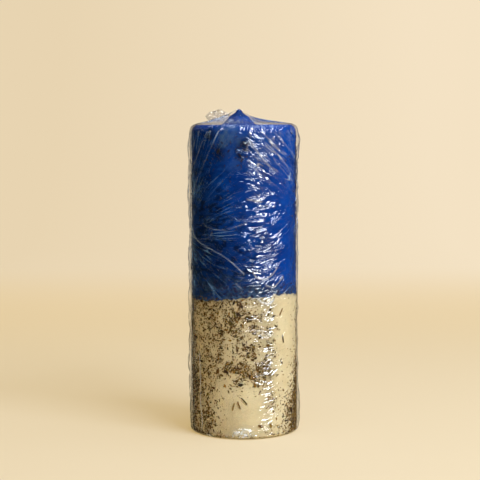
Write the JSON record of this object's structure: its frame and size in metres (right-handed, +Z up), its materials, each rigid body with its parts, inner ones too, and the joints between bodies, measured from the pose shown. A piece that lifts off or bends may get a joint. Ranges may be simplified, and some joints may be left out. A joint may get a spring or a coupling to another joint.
{
  "type": "pillar candle",
  "caption": "Ritual pillar candle of blue wax over cream wax, rolled in dried herbs and wrapped in crumpled clear film gathered over the wick.",
  "frame": {"origin": "on the candle's axis at the underside of the film it stands on", "axes": "+Z up along the candle, -Y towards its front, so that the film's lapped seam is on the -X side"},
  "size_m": [0.0626, 0.0612, 0.1808],
  "materials": {
    "cream_wax": "satin cream wax, cast, with herb stains",
    "blue_wax": "satin cobalt blue wax, cast, mottled darker",
    "cotton": "braided waxed cotton",
    "tin_plate": "pressed tinned sheet, satin",
    "clear_film": "clear glossy cling film, crumpled",
    "dried_leaf": "dry olive to brown leaf, matt",
    "dried_stem": "dry dark stem, matt",
    "dried_seed": "dark seed husk, satin"
  },
  "bodies": {
    "root": {"cream_wax_lower": "cream_wax", "blue_wax_upper": "blue_wax", "wick_tip_wax": "blue_wax", "wick": "cotton", "wick_sustainer": "tin_plate", "cling_film_wrap": "clear_film", "leaf_flake_01": "dried_leaf", "leaf_flake_02": "dried_leaf", "leaf_flake_03": "dried_leaf", "leaf_flake_04": "dried_leaf", "leaf_flake_05": "dried_leaf", "leaf_flake_06": "dried_leaf", "leaf_flake_07": "dried_leaf", "leaf_flake_08": "dried_leaf", "leaf_flake_09": "dried_leaf", "leaf_flake_10": "dried_leaf", "leaf_flake_11": "dried_leaf", "leaf_flake_12": "dried_leaf", "leaf_flake_13": "dried_leaf", "leaf_flake_14": "dried_leaf", "leaf_flake_15": "dried_leaf", "leaf_flake_16": "dried_leaf", "leaf_flake_17": "dried_leaf", "leaf_flake_18": "dried_leaf", "leaf_flake_19": "dried_leaf", "leaf_flake_20": "dried_leaf", "stem_bit_01": "dried_stem", "stem_bit_02": "dried_stem", "stem_bit_03": "dried_stem", "stem_bit_04": "dried_stem", "stem_bit_05": "dried_stem", "stem_bit_06": "dried_stem", "stem_bit_07": "dried_stem", "stem_bit_08": "dried_stem", "stem_bit_09": "dried_stem", "stem_bit_10": "dried_stem", "stem_bit_11": "dried_stem", "stem_bit_12": "dried_stem", "stem_bit_13": "dried_stem", "stem_bit_14": "dried_stem", "stem_bit_15": "dried_stem", "stem_bit_16": "dried_stem", "seed_01": "dried_seed", "seed_02": "dried_seed", "seed_03": "dried_seed", "seed_04": "dried_seed", "seed_05": "dried_seed", "seed_06": "dried_seed", "seed_07": "dried_seed", "seed_08": "dried_seed", "seed_09": "dried_seed", "seed_10": "dried_seed"}
  },
  "joints": []
}
